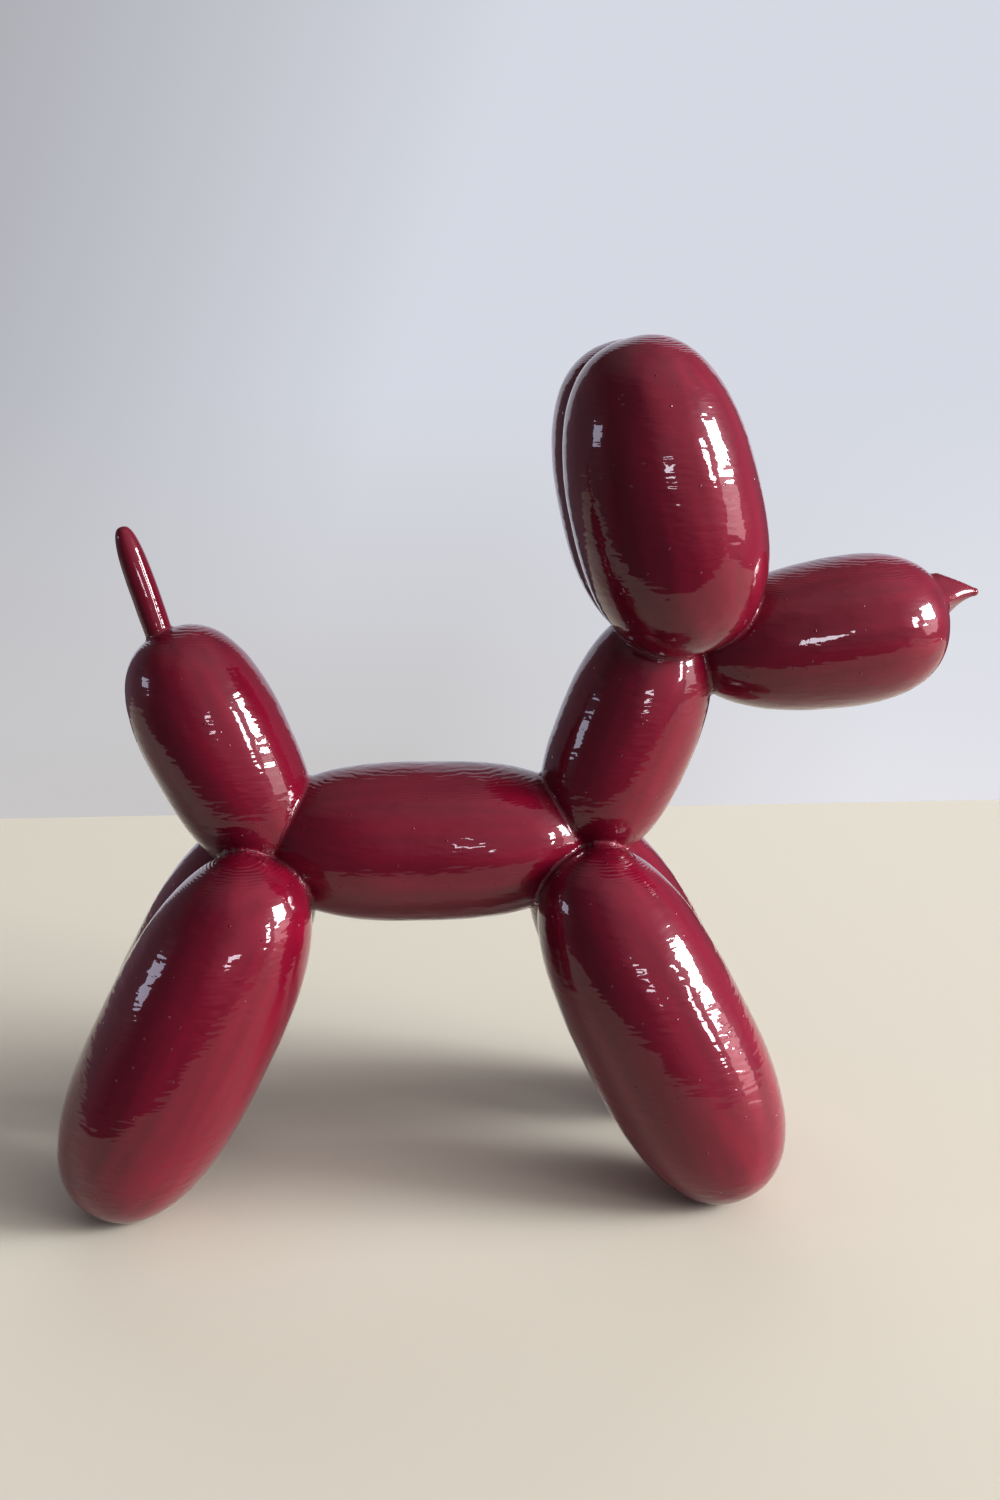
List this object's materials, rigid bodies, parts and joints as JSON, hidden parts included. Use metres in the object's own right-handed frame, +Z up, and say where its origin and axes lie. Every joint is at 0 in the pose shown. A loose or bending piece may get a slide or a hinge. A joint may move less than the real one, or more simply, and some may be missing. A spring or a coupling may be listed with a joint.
{
  "type": "balloon dog figurine",
  "caption": "Standing twisted-balloon dog cast as one glossy dark red piece, with a thin tail tip and a small nose knot.",
  "frame": {"origin": "on the ground under the middle of the dog's length and width", "axes": "+X towards the nose, +Y to the dog's left, +Z up"},
  "size_m": [0.2454, 0.0944, 0.2253],
  "materials": {
    "red_lacquer": "thick dark red gloss lacquer over a printed plastic shell"
  },
  "bodies": {
    "root": {"balloon_dog": "red_lacquer"}
  },
  "joints": []
}
